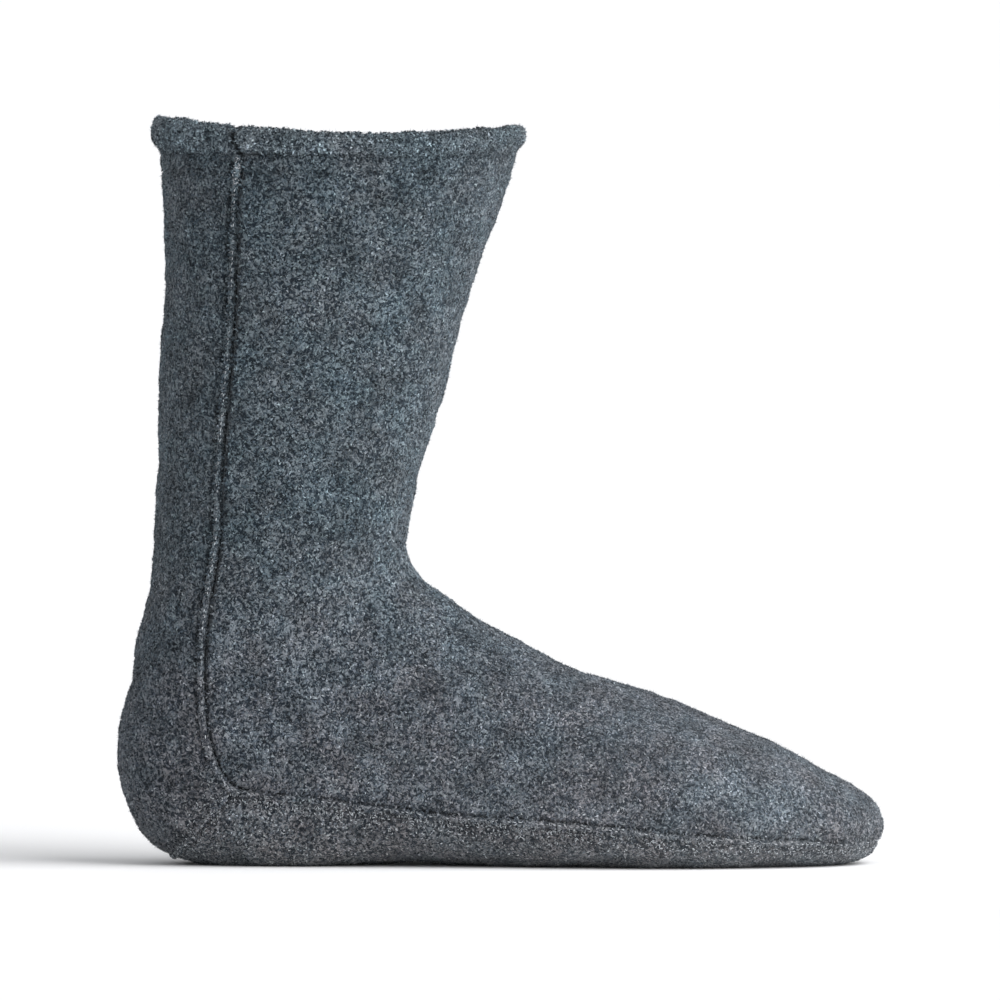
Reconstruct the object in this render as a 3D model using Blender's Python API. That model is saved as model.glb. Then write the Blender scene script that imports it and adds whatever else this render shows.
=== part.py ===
"""A mid-calf slipper sock of thick fleece, standing empty and unbent on its sole.

The sock is worked out from one last, a row of cross-sections from the toe tip along the
foot, round the heel and up the shaft to the collar. The upper and the sole are cut from
the last as walls of fleece, and the raised seams and the collar hem lie on it.

Metres, +X towards the toe, +Z up, with the origin on the floor under the heel.
"""

import math
from collections import namedtuple

import bmesh
import bpy
import numpy as np
from mathutils import Vector
from mathutils.bvhtree import BVHTree
from mathutils.kdtree import KDTree

# Foot
FOOT_LENGTH = 0.280  # back of the heel to the tip of the toe
BALL_WIDTH = 0.099
HEEL_WIDTH = 0.070
INSTEP_HEIGHT = 0.098  # floor to the top of the foot, just in front of the throat
TOE_SPRING = 0.010  # floor to the seam at the tip of the toe
HEEL_REST_AT = 0.052  # back of the heel to the middle of the heel's flat spot

# Shaft
ANKLE_HEIGHT = 0.125
ANKLE_DEPTH = 0.095  # front to back
ANKLE_WIDTH = 0.076
ANKLE_LEAN = 0.0075  # how far the ankle's section rises in front and falls behind
BACK_INSET = 0.0138  # how far the back of the ankle stands in front of the heel
RIM_HEIGHT = 0.262  # floor to the edge of the fleece, under the hem
COLLAR_DEPTH = 0.1305
COLLAR_WIDTH = 0.104

# Cloth
FLEECE_WALL = 0.0028
SOLE_WALL = 0.0032
CLEARANCE = 0.0003  # between pieces that meet

# Raised seams
SEAM_WIDTH = 0.0036
SEAM_RISE = 0.0010

# Collar hem
HEM_BACK = 0.0128  # height above the rim, at the back
HEM_FRONT = 0.0094
HEM_SAG = 0.0046  # how far the sides lie below the line from back to front
HEM_PROUD = 0.0025  # outside the fleece
HEM_INSIDE = 0.0008  # inside the fleece
HEM_LEAN = 0.12  # outward run for each step up
HEM_ROUND = 0.75  # 1 for an oval roll, less for a squarer one

# Fineness of the mesh
SOLE_COLUMNS = 6  # on each side of the middle
UPPER_COLUMNS = 10
RING_STEPS = 24
HEM_COLUMNS = 40
HEM_STEPS = 10
SEAM_STEP = 0.02  # the share of a ring, or of a station, over which a direction is read
MERGE = 0.000001
SHARP_ANGLE = 50  # degrees

FootRow = namedtuple("FootRow", "top_at top base_at base half widest base_full top_full seam")
HeelRow = namedtuple("HeelRow", "throat base_at base half widest base_full top_full seam")
ShaftRow = namedtuple("ShaftRow", "height lean inset flare widest base_full top_full seam")

# Toe to throat. top_at and base_at are shares of FOOT_LENGTH, top of INSTEP_HEIGHT, base
# of TOE_SPRING and half of BALL_WIDTH. A base below the floor is pressed flat on it.
# In all three tables widest and seam are shares of the section, from base to top.
FOOT_ROWS = (
    FootRow(0.9985, 0.150, 0.9915, 0.56, 0.105, 0.45, 2.0, 2.1, 0.36),
    FootRow(0.9905, 0.203, 0.9780, 0.33, 0.188, 0.44, 2.1, 2.2, 0.31),
    FootRow(0.9765, 0.250, 0.9590, 0.17, 0.258, 0.43, 2.2, 2.3, 0.28),
    FootRow(0.9535, 0.302, 0.9340, 0.07, 0.325, 0.42, 2.4, 2.3, 0.265),
    FootRow(0.9180, 0.363, 0.8930, 0.00, 0.391, 0.40, 2.6, 2.3, 0.25),
    FootRow(0.8710, 0.434, 0.8430, -0.09, 0.446, 0.38, 2.8, 2.25, 0.24),
    FootRow(0.8040, 0.520, 0.7680, -0.14, 0.485, 0.36, 3.1, 2.2, 0.235),
    FootRow(0.7320, 0.602, 0.6890, -0.14, 0.500, 0.35, 3.2, 2.1, 0.235),
    FootRow(0.6570, 0.684, 0.6000, -0.07, 0.480, 0.34, 3.1, 2.0, 0.232),
    FootRow(0.5820, 0.765, 0.5110, 0.10, 0.438, 0.34, 2.9, 1.9, 0.216),
    FootRow(0.5140, 0.845, 0.4210, 0.26, 0.399, 0.35, 2.8, 1.85, 0.195),
    FootRow(0.4640, 0.923, 0.3360, 0.18, 0.372, 0.36, 2.8, 1.82, 0.215),
    FootRow(0.4290, 1.000, 0.2570, -0.07, 0.358, 0.36, 2.9, 1.82, 0.24),
)

# Round the heel, with each section turned about the throat. throat is a share of the
# throat's curve, base_at of FOOT_LENGTH, base of ANKLE_HEIGHT and half of HEEL_WIDTH.
HEEL_ROWS = (
    HeelRow(0.227, 0.1860, -0.010, 0.500, 0.37, 2.8, 1.84, 0.25),
    HeelRow(0.364, 0.1210, 0.000, 0.495, 0.38, 2.6, 1.88, 0.245),
    HeelRow(0.459, 0.0710, 0.026, 0.491, 0.39, 2.4, 1.92, 0.24),
    HeelRow(0.533, 0.0300, 0.098, 0.490, 0.40, 2.25, 1.95, 0.265),
    HeelRow(0.600, 0.0070, 0.204, 0.493, 0.41, 2.2, 1.97, 0.28),
    HeelRow(0.662, 0.0000, 0.328, 0.500, 0.42, 2.15, 1.98, 0.285),
    HeelRow(0.728, 0.0060, 0.464, 0.507, 0.43, 2.15, 2.0, 0.272),
    HeelRow(0.803, 0.0190, 0.616, 0.516, 0.44, 2.15, 2.0, 0.255),
    HeelRow(0.892, 0.0335, 0.776, 0.530, 0.45, 2.15, 2.0, 0.245),
)
HEEL_SEAM_ROW = 2  # the row of this table that the sole ends on
THROAT_BEND = 0.7  # how far down the throat's height its corner lies

# Ankle to rim. height is a share of the way from ANKLE_HEIGHT to RIM_HEIGHT, lean of
# ANKLE_LEAN, inset of BACK_INSET and flare of the way from the ankle's sizes to the collar's.
SHAFT_ROWS = (
    ShaftRow(0.000, 1.00, 0.92, 0.010, 0.46, 2.15, 2.0, 0.245),
    ShaftRow(0.117, 0.67, 1.00, 0.045, 0.47, 2.15, 2.05, 0.235),
    ShaftRow(0.248, 0.40, 1.09, 0.163, 0.47, 2.15, 2.05, 0.225),
    ShaftRow(0.398, 0.20, 1.16, 0.304, 0.48, 2.15, 2.1, 0.222),
    ShaftRow(0.558, 0.07, 1.20, 0.437, 0.48, 2.15, 2.1, 0.225),
    ShaftRow(0.723, 0.00, 1.23, 0.606, 0.48, 2.15, 2.1, 0.217),
    ShaftRow(0.872, 0.00, 1.22, 0.817, 0.48, 2.15, 2.1, 0.211),
    ShaftRow(1.000, 0.00, 1.17, 1.000, 0.48, 2.15, 2.1, 0.218),
)

# A raised seam's section: across in shares of SEAM_WIDTH, rise in shares of SEAM_RISE.
SeamPoint = namedtuple("SeamPoint", "across rise")
SEAM_PROFILE = (
    SeamPoint(-0.50, 0.0),
    SeamPoint(0.00, 0.0),
    SeamPoint(0.50, 0.0),
    SeamPoint(0.36, 0.8),
    SeamPoint(0.00, 1.0),
    SeamPoint(-0.36, 0.8),
)

# Stations count the last's sections: 0 is the toe tip, and each row of the tables is one.
HEEL_STATION = len(FOOT_ROWS) + 1 + HEEL_SEAM_ROW
RIM_STATION = len(FOOT_ROWS) + len(HEEL_ROWS) + len(SHAFT_ROWS)

Section = namedtuple("Section", "top_x top_z base_x base_z half widest base_full top_full seam")
Ring = namedtuple("Ring", "section shares outs lengths seam_length")

UPPER, SOLE, OPEN = range(3)  # what a face of the last belongs to


def foot_sections():
    for row in FOOT_ROWS:
        yield Section(
            row.top_at * FOOT_LENGTH,
            row.top * INSTEP_HEIGHT,
            row.base_at * FOOT_LENGTH,
            row.base * TOE_SPRING,
            row.half * BALL_WIDTH,
            row.widest,
            row.base_full,
            row.top_full,
            row.seam,
        )


def shaft_sections():
    for row in SHAFT_ROWS:
        middle = ANKLE_HEIGHT + row.height * (RIM_HEIGHT - ANKLE_HEIGHT)
        back = row.inset * BACK_INSET
        depth = ANKLE_DEPTH + row.flare * (COLLAR_DEPTH - ANKLE_DEPTH)
        width = ANKLE_WIDTH + row.flare * (COLLAR_WIDTH - ANKLE_WIDTH)
        yield Section(
            back + depth,
            middle + row.lean * ANKLE_LEAN,
            back,
            middle - row.lean * ANKLE_LEAN,
            width / 2,
            row.widest,
            row.base_full,
            row.top_full,
            row.seam,
        )


def heel_sections(instep, ankle, above):
    """The sections between the last one of the foot and the first one of the shaft.

    Their tops follow one curve round the throat, which runs on into the shaft's front.
    """
    start = Vector((instep.top_x, instep.top_z))
    end = Vector((ankle.top_x, ankle.top_z))
    shaft_front = Vector((above.top_x, above.top_z)) - end
    corner = end - shaft_front * (THROAT_BEND * (end.y - start.y) / shaft_front.y)
    for row in HEEL_ROWS:
        share = row.throat
        top = start * (1 - share) ** 2 + corner * 2 * share * (1 - share) + end * share**2
        yield Section(
            top.x,
            top.y,
            row.base_at * FOOT_LENGTH,
            row.base * ANKLE_HEIGHT,
            row.half * HEEL_WIDTH,
            row.widest,
            row.base_full,
            row.top_full,
            row.seam,
        )


def all_sections():
    """One row of numbers for each station, with one more past either end for the curves."""
    foot = list(foot_sections())
    shaft = list(shaft_sections())
    heel = list(heel_sections(foot[-1], *shaft[:2]))
    first = foot[0]
    # The toe tip lies on the seam, a little ahead of the first section.
    tip = first._replace(
        top_x=FOOT_LENGTH, top_z=TOE_SPRING, base_x=FOOT_LENGTH, base_z=TOE_SPRING, half=0.0
    )
    # Past the tip the top runs on as the base, so that the toe is round.
    beyond_tip = first._replace(
        top_x=first.base_x,
        top_z=first.base_z,
        base_x=first.top_x,
        base_z=first.top_z,
        half=-first.half,
    )
    rows = np.array([beyond_tip, tip, *foot, *heel, *shaft])
    return np.vstack([rows, 2 * rows[-1] - rows[-2]])


SECTIONS = all_sections()


def section_at(station):
    """The last's section at a station, on a smooth curve through the rows of the tables."""
    row = min(int(station), RIM_STATION - 1)
    t = station - row
    before, start, end, after = SECTIONS[row : row + 4]
    return Section(
        *(
            start
            + 0.5 * t * (end - before)
            + t * t * (before - 2.5 * start + 2 * end - 0.5 * after)
            + t * t * t * (1.5 * (start - end) + 0.5 * (after - before))
        )
    )


def ring_at(station):
    """One side of the section's outline, from its base to its top, with its running length."""
    section = section_at(station)
    turn = np.linspace(0, math.pi / 2, RING_STEPS)
    rise, swing = np.sin(turn).clip(0, 1), np.cos(turn).clip(0, 1)
    low, high = 2 / section.base_full, 2 / section.top_full
    shares = np.concatenate(
        [
            section.widest * (1 - swing**low),
            section.widest + (1 - section.widest) * rise[1:] ** high,
        ]
    )
    outs = section.half * np.concatenate([rise**low, swing[1:] ** high])
    depth = math.hypot(section.top_x - section.base_x, section.top_z - section.base_z)
    steps = np.hypot(np.diff(shares) * depth, np.diff(outs))
    lengths = np.concatenate([[0], np.cumsum(steps)])
    seam_length = np.interp(section.seam, shares, lengths)
    return Ring(section, shares, outs, lengths, seam_length)


def ring_point(ring, side, length):
    """The point at a length along one side of a ring, pressed flat where the floor is."""
    section = ring.section
    share = np.interp(length, ring.lengths, ring.shares)
    out = np.interp(length, ring.lengths, ring.outs)
    x = section.base_x + share * (section.top_x - section.base_x) - HEEL_REST_AT
    z = section.base_z + share * (section.top_z - section.base_z)
    return Vector((x, side * out, max(z, 0.0)))


def stations():
    """The stations of the mesh's rows, with two at the heel seam, where the cloth parts."""
    halves = [step / 2 for step in range(2 * RIM_STATION + 1)]
    return sorted([*halves, HEEL_STATION])


def last_point(rings, row, side, column):
    """A vertex of the last. Columns count up from the base, with two at the seam."""
    ring = rings[row]
    on_sole = column <= SOLE_COLUMNS
    heel = HEEL_STATION_ROWS
    if row == 0:
        lift = -CLEARANCE / 2 if on_sole else CLEARANCE / 2
        return ring_point(ring, side, 0) + Vector((0, 0, lift))
    if on_sole:
        gap = CLEARANCE / 2 if row <= heel[0] else 0
        length = (ring.seam_length - gap) * column / SOLE_COLUMNS
    else:
        gap = CLEARANCE / 2 if row <= heel[1] else 0
        start = ring.seam_length + gap
        share = (column - SOLE_COLUMNS - 1) / UPPER_COLUMNS
        length = start + (ring.lengths[-1] - start) * share
    point = ring_point(ring, side, length)
    if on_sole and row in heel:
        ahead = ring_point(rings[heel[0] - 1], side, length)
        behind = ring_point(rings[heel[1] + 1], side, length)
        along = (behind - ahead).normalized() * (CLEARANCE / 2)
        point += along if row == heel[1] else -along
    return point


def part_of_face(row, column):
    heel = HEEL_STATION_ROWS
    if row >= heel[1]:
        return UPPER
    if column > SOLE_COLUMNS:
        return UPPER
    if row == heel[0] or column == SOLE_COLUMNS:
        return OPEN
    return SOLE


STATIONS = stations()
HEEL_STATION_ROWS = (STATIONS.index(HEEL_STATION), STATIONS.index(HEEL_STATION) + 1)


def grid(columns, rows, place, tag=None):
    """A bmesh grid whose corner (column, row) goes to place(column, row)."""
    bm = bmesh.new()
    bmesh.ops.create_grid(bm, x_segments=columns, y_segments=rows, size=1)

    def corner(at):
        return (at.x + 1) / 2 * columns, (at.y + 1) / 2 * rows

    if tag:
        for face in bm.faces:
            column, row = corner(face.calc_center_median())
            face.material_index = tag(int(column), int(row))
    for vert in bm.verts:
        column, row = corner(vert.co)
        vert.co = place(round(column), round(row))
    bmesh.ops.remove_doubles(bm, verts=bm.verts, dist=MERGE)
    return bm


def make_last():
    """The outer surface of the sock, with the narrow gaps where the sole meets the upper.

    Each corner keeps the direction that points out of the cloth there, read with the gaps
    closed, so that the edges on both sides of a gap are cut alike.
    """
    rings = [ring_at(station) for station in STATIONS]
    half = SOLE_COLUMNS + 1 + UPPER_COLUMNS

    def place(column, row):
        if column <= half:
            return last_point(rings, row, 1, column)
        return last_point(rings, row, -1, 2 * half - column)

    def tag(column, row):
        if column < half:
            return part_of_face(row, column)
        return part_of_face(row, 2 * half - 1 - column)

    bm = grid(2 * half, len(STATIONS) - 1, place, tag)
    bmesh.ops.recalc_face_normals(bm, faces=bm.faces)
    joined = bm.copy()
    bmesh.ops.remove_doubles(joined, verts=joined.verts, dist=1.5 * CLEARANCE)
    joined.normal_update()
    places = KDTree(len(joined.verts))
    corners = list(joined.verts)
    for index, vert in enumerate(corners):
        places.insert(vert.co, index)
    places.balance()
    outward = bm.verts.layers.float_vector.new("outward")
    for vert in bm.verts:
        vert[outward] = corners[places.find(vert.co)[1]].normal
    joined.free()
    return bm


def add_object(name, bm, material, collection):
    bmesh.ops.recalc_face_normals(bm, faces=bm.faces)
    mesh = bpy.data.meshes.new(name)
    bm.to_mesh(mesh)
    bm.free()
    mesh.shade_smooth()
    mesh.set_sharp_from_angle(angle=math.radians(SHARP_ANGLE))
    mesh.materials.append(material)
    mesh.polygons.foreach_set("material_index", [0] * len(mesh.polygons))
    thing = bpy.data.objects.new(name, mesh)
    collection.objects.link(thing)
    return thing


def wall_of(last, part, thickness):
    """A closed wall that runs inward from the last, over the faces of one part."""
    bm = last.copy()
    outward = bm.verts.layers.float_vector["outward"]
    others = [face for face in bm.faces if face.material_index != part]
    bmesh.ops.delete(bm, geom=others, context="FACES")
    made = bmesh.ops.extrude_face_region(bm, geom=bm.faces[:], use_keep_orig=True)
    for item in made["geom"]:
        if isinstance(item, bmesh.types.BMVert):
            item.co -= item[outward] * thickness
    return bm


def raised_seam(surface, path):
    """A low ridge on the last. The path gives each spot with its direction across the seam."""
    spots = [spot for spot, _ in path]
    starts = [spots[0], *spots[:-1]]
    ends = [*spots[1:], spots[-1]]
    points = len(SEAM_PROFILE)
    rows = []
    for (spot, across), start, end in zip(path, starts, ends):
        along = (end - start).normalized()
        across = across / across.cross(along).length
        sides = [surface.find_nearest(spot + across * way * SEAM_WIDTH / 2) for way in (-1, 1)]
        out = (sides[0][1] + sides[1][1]).normalized()
        row = []
        for at in SEAM_PROFILE:
            foot = surface.find_nearest(spot + across * (at.across * SEAM_WIDTH))[0]
            row.append(foot + out * (CLEARANCE + at.rise * SEAM_RISE))
        rows.append(row)
    bm = grid(points, len(path) - 1, lambda column, row: rows[row][column % points])
    bmesh.ops.holes_fill(bm, edges=[edge for edge in bm.edges if edge.is_boundary], sides=points)
    return bm


def mirrored(point):
    return Vector((point.x, -point.y, point.z))


def panel_seam_path():
    """Down one side from the rim, forward over the sole's edge, round the toe and back."""
    side = []
    for station in sorted(set(STATIONS) - {0}, reverse=True):
        ring = ring_at(station)
        step = ring.lengths[-1] * SEAM_STEP
        spot = ring_point(ring, 1, ring.seam_length)
        across = ring_point(ring, 1, ring.seam_length + step) - spot
        side.append((spot, across.normalized()))
    tip = ring_point(ring_at(0), 1, 0), Vector((0, 0, 1))
    return [*side, tip, *((mirrored(spot), mirrored(across)) for spot, across in reversed(side))]


def heel_seam_path():
    """Across under the heel, from just clear of one side's seam to just clear of the other's."""
    ring = ring_at(HEEL_STATION)
    reach = ring.seam_length - SEAM_WIDTH / 2 - 2 * CLEARANCE
    columns = [ring.seam_length * column / SOLE_COLUMNS for column in range(SOLE_COLUMNS)]
    side = []
    for length in [*columns, reach]:
        ahead, behind = (
            ring_point(ring_at(HEEL_STATION + step), 1, length) for step in (-SEAM_STEP, SEAM_STEP)
        )
        side.append((ring_point(ring, 1, length), (behind - ahead).normalized()))
    return [*((mirrored(spot), mirrored(across)) for spot, across in reversed(side)), *side[1:]]


def make_hem():
    """A soft roll that stands on the rim, highest at the back and lowest at the sides."""
    ring = ring_at(RIM_STATION)
    whole = ring.lengths[-1]
    middle = (HEM_PROUD - FLEECE_WALL - HEM_INSIDE) / 2
    reach = (HEM_PROUD + FLEECE_WALL + HEM_INSIDE) / 2

    def rim_point(column):
        around = column / HEM_COLUMNS * 2
        if around <= 1:
            return ring_point(ring, 1, around * whole)
        return ring_point(ring, -1, (2 - around) * whole)

    def soften(value):
        return math.copysign(abs(value) ** HEM_ROUND, value)

    def place(column, row):
        spot = rim_point(column)
        along = rim_point((column + 1) % HEM_COLUMNS) - rim_point((column - 1) % HEM_COLUMNS)
        outward = along.cross(Vector((0, 0, 1))).normalized()
        back = ring.section.base_x - HEEL_REST_AT
        share = (spot.x - back) / COLLAR_DEPTH
        line = HEM_BACK + share * (HEM_FRONT - HEM_BACK)
        height = line - 4 * HEM_SAG * share * (1 - share)
        angle = 2 * math.pi * row / HEM_STEPS
        up = CLEARANCE + height * (0.5 + 0.5 * soften(math.sin(angle)))
        out = middle + reach * soften(math.cos(angle)) + HEM_LEAN * up
        return spot + outward * out + Vector((0, 0, up))

    return grid(HEM_COLUMNS, HEM_STEPS, place)


def fleece(name, colour, roughness):
    material = bpy.data.materials.new(name)
    material.use_nodes = True
    shader = material.node_tree.nodes["Principled BSDF"]
    shader.inputs["Base Color"].default_value = (*colour, 1)
    shader.inputs["Roughness"].default_value = roughness
    shader.inputs["Metallic"].default_value = 0.0
    return material


def main():
    for thing in list(bpy.data.objects):
        bpy.data.objects.remove(thing)
    sock = bpy.data.collections.new("slipper_sock")
    bpy.context.scene.collection.children.link(sock)

    charcoal = fleece("charcoal_fleece", (0.105, 0.118, 0.135), 0.95)
    sole_grey = fleece("sole_fleece", (0.090, 0.100, 0.115), 0.95)
    hem_grey = fleece("hem_fleece", (0.115, 0.128, 0.145), 0.95)
    seam_grey = fleece("seam_fleece", (0.200, 0.215, 0.235), 0.9)

    last = make_last()
    surface = BVHTree.FromBMesh(last)
    add_object("upper", wall_of(last, UPPER, FLEECE_WALL), charcoal, sock)
    add_object("sole", wall_of(last, SOLE, SOLE_WALL), sole_grey, sock)
    add_object("collar_hem", make_hem(), hem_grey, sock)
    add_object("panel_seam", raised_seam(surface, panel_seam_path()), seam_grey, sock)
    add_object("heel_seam", raised_seam(surface, heel_seam_path()), seam_grey, sock)
    last.free()


main()
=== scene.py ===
"""The looks of a mid-calf slipper sock in heathered charcoal fleece.

Three panels of fleece, a rolled hem at the collar, raised overlocked seams with their
threads, a lining, and the nap, made as short curls and hairs. Everything follows the last
that the solids were cut from: cross-sections from the toe tip, round the heel, to the collar.
"""

import math
from collections import namedtuple

import bmesh
import bpy
import numpy as np
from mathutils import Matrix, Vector, noise


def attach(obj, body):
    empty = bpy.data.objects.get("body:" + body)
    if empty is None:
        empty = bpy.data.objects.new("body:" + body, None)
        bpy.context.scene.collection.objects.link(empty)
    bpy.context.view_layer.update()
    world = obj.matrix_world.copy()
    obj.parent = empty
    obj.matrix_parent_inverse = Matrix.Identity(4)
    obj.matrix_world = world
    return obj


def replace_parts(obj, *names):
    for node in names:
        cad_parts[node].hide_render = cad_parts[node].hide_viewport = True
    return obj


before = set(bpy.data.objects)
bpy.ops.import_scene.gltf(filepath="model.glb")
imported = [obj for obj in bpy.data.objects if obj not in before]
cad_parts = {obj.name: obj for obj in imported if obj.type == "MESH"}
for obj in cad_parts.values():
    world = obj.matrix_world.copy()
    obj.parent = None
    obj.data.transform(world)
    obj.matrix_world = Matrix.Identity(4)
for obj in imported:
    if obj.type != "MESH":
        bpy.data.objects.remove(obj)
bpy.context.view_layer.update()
SCENE = bpy.context.scene

# The last's own sizes, in metres, as the solids have them
FOOT_LENGTH = 0.280
BALL_WIDTH = 0.099
HEEL_WIDTH = 0.070
INSTEP_HEIGHT = 0.098
TOE_SPRING = 0.010
HEEL_REST_AT = 0.052
ANKLE_HEIGHT = 0.125
ANKLE_DEPTH = 0.095
ANKLE_WIDTH = 0.076
ANKLE_LEAN = 0.0075
BACK_INSET = 0.0138
RIM_HEIGHT = 0.262
COLLAR_DEPTH = 0.1305
COLLAR_WIDTH = 0.104
THROAT_BEND = 0.7
CLEARANCE = 0.0003
FLEECE_WALL = 0.0028
RING_STEPS = 48

# Cloth
PANEL_WALL = 0.0018
LINING_WALL = 0.0005
LINING_INSET = 0.0038
EDGE_COLUMNS = (0, 0.0010, 0.0017, 0.0021, 0.0025, 0.0030, 0.0036, 0.0046)  # from a seam
ROUGH_SWELLS = ((0.050, 0.0016), (0.016, 0.0008), (0.0050, 0.0006))  # size and height
CALM_REACH = 0.012  # how far from a seam the swells are fully there

# What a seam does to the fleece beside it, on each panel: depth, width and swell shape the cloth,
# shade is the shade painted in its groove, and around a fainter shade painted beside the seam
SeamPull = namedtuple("SeamPull", "depth width swell shade around")
SEAM_PULLS = {
    "front": SeamPull(0.0014, 0.0018, 0.0007, 1.45, 0.00),
    "back": SeamPull(0.0006, 0.0011, 0.0005, 0.60, 0.30),
    "sole": SeamPull(0.0003, 0.0012, 0.0002, 0.20, 0.45),
}
GROOVE_AT = 0.0018  # from the middle of the seam
SWELL_AT = 0.0062  # the soft puff next to the groove
SWELL_WIDTH = 0.0040
HEM_TUCK_AT = 0.0068  # the stitched line below the hem
HEM_TUCK_WIDTH = 0.0011
HEM_TUCK_DEPTH = 0.0006
# painted shade in the tuck's groove
HEM_TUCK_SHADE = 0.6
HEM_TUCK_GAPS = 0.009  # the size of its breaks
RIM_DIP = 0.0005  # how far the rim goes in under the hem
RIM_DIP_WIDTH = 0.0018
# painted shade just under the hem's roll
RIM_SHADE = 0.3
RIM_SHADE_WIDTH = 0.0010
TOE_PUFF = 0.0022  # how far the toe swells out over its seam
TOE_PUFF_BELOW = 0.3 * TOE_PUFF
TOE_PUFF_AT = 2.4
TOE_PUFF_REACH = 2.2
TOE_PUFF_RISE = (0.0005, 0.010)  # from the seam, where the puff starts and is full
# painted shade: a dark line on the sole where the heel seam's edge shades it
HEEL_LINE_SHADE = 1.2  # the dark line on the sole beside the heel seam
HEEL_LINE_WIDTH = 0.0009

# How hard a seam draws the fleece in, which sets its groove's depth and the darkness of the shade
# painted in it: at the toe, and what the foot and the shaft add to it
DRAWN_AT_TOE = 0.22
DRAWN_ON_FOOT = 0.43
DRAWN_ON_SHAFT = 0.35
GATHER_SIZE = 0.0048  # of the uneven gathers along a seam

# Seams
BAND_WIDTH = 0.0036
BAND_WALL = 0.0006
BAND_RISE = 0.0011
BAND_PEAK = 0.30  # how far towards the front panel the band is highest
BAND_ROOT = 0.0022  # how far its edges run under the fleece
STITCH_PITCH = 0.0021
THREAD_RADIUS = 0.00018
FLECK_REACH = 0.0046  # how far from the seam the ends of its threads show

# Collar hem
HEM_BACK = 0.0128
HEM_FRONT = 0.0094
HEM_SAG = 0.0046
HEM_PROUD = 0.0025
HEM_INSIDE = 0.0008
HEM_LEAN = 0.12
HEM_DROP = 0.0006  # how far the roll hangs over the edge of the shaft
HEM_NOTCH = 0.0006
HEM_NOTCH_WIDTH = 0.0016
HEM_NOTCH_SLANT = 0.0028
HEM_NOTCH_LIP = 0.0004  # how far the roll stands up in front of the notch
HEM_RIPPLE = 0.10
HEM_NUBS = 0.0006
HEM_BUMPS = ((0.008, 0.0007), (0.0032, 0.0005))  # size and depth
UPWARD = np.array([0, 0, 1.0])

# Shares of the sizes above, as in the solids' own tables. Each row ends with the section's
# shape: widest, base_full, top_full and seam. The foot's starts with top_at, top, base_at,
# base and half, the heel's with throat, base_at, base and half, and the shaft's with height,
# lean, inset and flare.
FOOT_ROWS = (
    (0.9985, 0.150, 0.9915, 0.56, 0.105, 0.45, 2.0, 2.1, 0.36),
    (0.9905, 0.203, 0.9780, 0.33, 0.188, 0.44, 2.1, 2.2, 0.31),
    (0.9765, 0.250, 0.9590, 0.17, 0.258, 0.43, 2.2, 2.3, 0.28),
    (0.9535, 0.302, 0.9340, 0.07, 0.325, 0.42, 2.4, 2.3, 0.265),
    (0.9180, 0.363, 0.8930, 0.00, 0.391, 0.40, 2.6, 2.3, 0.25),
    (0.8710, 0.434, 0.8430, -0.09, 0.446, 0.38, 2.8, 2.25, 0.24),
    (0.8040, 0.520, 0.7680, -0.14, 0.485, 0.36, 3.1, 2.2, 0.235),
    (0.7320, 0.602, 0.6890, -0.14, 0.500, 0.35, 3.2, 2.1, 0.235),
    (0.6570, 0.684, 0.6000, -0.07, 0.480, 0.34, 3.1, 2.0, 0.232),
    (0.5820, 0.765, 0.5110, 0.10, 0.438, 0.34, 2.9, 1.9, 0.216),
    (0.5140, 0.845, 0.4210, 0.26, 0.399, 0.35, 2.8, 1.85, 0.195),
    (0.4640, 0.923, 0.3360, 0.18, 0.372, 0.36, 2.8, 1.82, 0.215),
    (0.4290, 1.000, 0.2570, -0.07, 0.358, 0.36, 2.9, 1.82, 0.24),
)
HEEL_ROWS = (
    (0.227, 0.1860, -0.010, 0.500, 0.37, 2.8, 1.84, 0.25),
    (0.364, 0.1210, 0.000, 0.495, 0.38, 2.6, 1.88, 0.245),
    (0.459, 0.0710, 0.026, 0.491, 0.39, 2.4, 1.92, 0.24),
    (0.533, 0.0300, 0.098, 0.490, 0.40, 2.25, 1.95, 0.265),
    (0.600, 0.0070, 0.204, 0.493, 0.41, 2.2, 1.97, 0.28),
    (0.662, 0.0000, 0.328, 0.500, 0.42, 2.15, 1.98, 0.285),
    (0.728, 0.0060, 0.464, 0.507, 0.43, 2.15, 2.0, 0.272),
    (0.803, 0.0190, 0.616, 0.516, 0.44, 2.15, 2.0, 0.255),
    (0.892, 0.0335, 0.776, 0.530, 0.45, 2.15, 2.0, 0.245),
)
HEEL_SEAM_ROW = 2
SHAFT_ROWS = (
    (0.000, 1.00, 0.92, 0.010, 0.46, 2.15, 2.0, 0.245),
    (0.117, 0.67, 1.00, 0.045, 0.47, 2.15, 2.05, 0.235),
    (0.248, 0.40, 1.09, 0.163, 0.47, 2.15, 2.05, 0.225),
    (0.398, 0.20, 1.16, 0.304, 0.48, 2.15, 2.1, 0.222),
    (0.558, 0.07, 1.20, 0.437, 0.48, 2.15, 2.1, 0.225),
    (0.723, 0.00, 1.23, 0.606, 0.48, 2.15, 2.1, 0.217),
    (0.872, 0.00, 1.22, 0.817, 0.48, 2.15, 2.1, 0.211),
    (1.000, 0.00, 1.17, 1.000, 0.48, 2.15, 2.1, 0.218),
)
HEEL_STATION = len(FOOT_ROWS) + 1 + HEEL_SEAM_ROW
RIM_STATION = len(FOOT_ROWS) + len(HEEL_ROWS) + len(SHAFT_ROWS)
TOE_TO_FOOT = (2.0, 7.0)  # stations over which a seam's pull grows from the toe's
HEEL_TO_SHAFT = (HEEL_STATION - 1, HEEL_STATION + 4)  # and from the foot's

Section = namedtuple("Section", "top_x top_z base_x base_z half widest base_full top_full seam")
Ring = namedtuple("Ring", "section shares outs lengths seam_length")
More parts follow.
